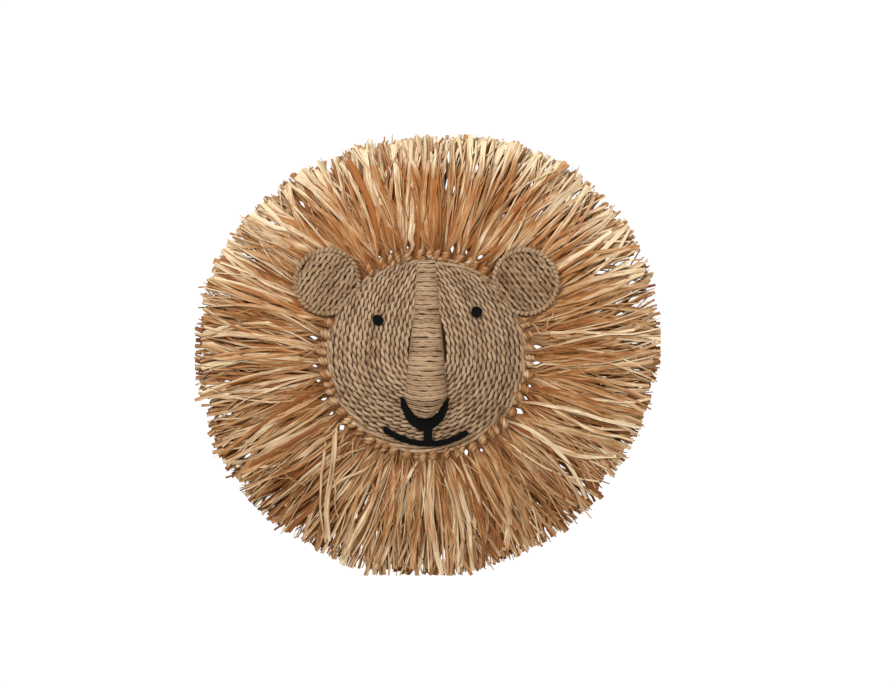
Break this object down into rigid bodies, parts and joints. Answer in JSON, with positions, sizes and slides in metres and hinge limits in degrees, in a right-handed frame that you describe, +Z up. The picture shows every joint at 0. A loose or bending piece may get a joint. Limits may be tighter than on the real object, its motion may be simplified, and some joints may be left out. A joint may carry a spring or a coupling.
{
  "type": "lion head wall mask",
  "caption": "Woven paper-cord lion head on a wire ring, with a felt face and a round mane of knotted raffia tufts, hung flat on a wall.",
  "frame": {"origin": "on the back of the head's ring, at its top, where the ring hangs on a nail and touches the wall", "axes": "+X to the viewer's right, +Y into the wall, +Z up; the face looks along -Y"},
  "size_m": [0.4669, 0.0459, 0.4419],
  "materials": {
    "paper_cord": "matt twisted paper cord",
    "raffia": "dry raffia with a slight sheen",
    "black_felt": "matt wool felt"
  },
  "bodies": {
    "root": {"head_ring": "paper_cord", "face_weave": "paper_cord", "nose_bridge": "paper_cord", "left_ear": "paper_cord", "right_ear": "paper_cord", "left_eye": "black_felt", "right_eye": "black_felt", "felt_mouth": "black_felt", "tuft_01": "raffia", "tuft_02": "raffia", "tuft_03": "raffia", "tuft_04": "raffia", "tuft_05": "raffia", "tuft_06": "raffia", "tuft_07": "raffia", "tuft_08": "raffia", "tuft_09": "raffia", "tuft_10": "raffia", "tuft_11": "raffia", "tuft_12": "raffia", "tuft_13": "raffia", "tuft_14": "raffia", "tuft_15": "raffia", "tuft_16": "raffia", "tuft_17": "raffia", "tuft_18": "raffia", "tuft_19": "raffia", "tuft_20": "raffia", "tuft_21": "raffia", "tuft_22": "raffia", "tuft_23": "raffia", "tuft_24": "raffia", "tuft_25": "raffia", "tuft_26": "raffia", "tuft_27": "raffia", "tuft_28": "raffia", "tuft_29": "raffia", "tuft_30": "raffia", "tuft_31": "raffia", "tuft_32": "raffia", "tuft_33": "raffia", "tuft_34": "raffia", "tuft_35": "raffia", "tuft_36": "raffia", "tuft_37": "raffia", "tuft_38": "raffia", "tuft_39": "raffia", "tuft_40": "raffia", "tuft_41": "raffia", "tuft_42": "raffia", "tuft_43": "raffia", "tuft_44": "raffia", "tuft_45": "raffia", "tuft_46": "raffia", "tuft_47": "raffia", "tuft_48": "raffia"}
  },
  "joints": []
}
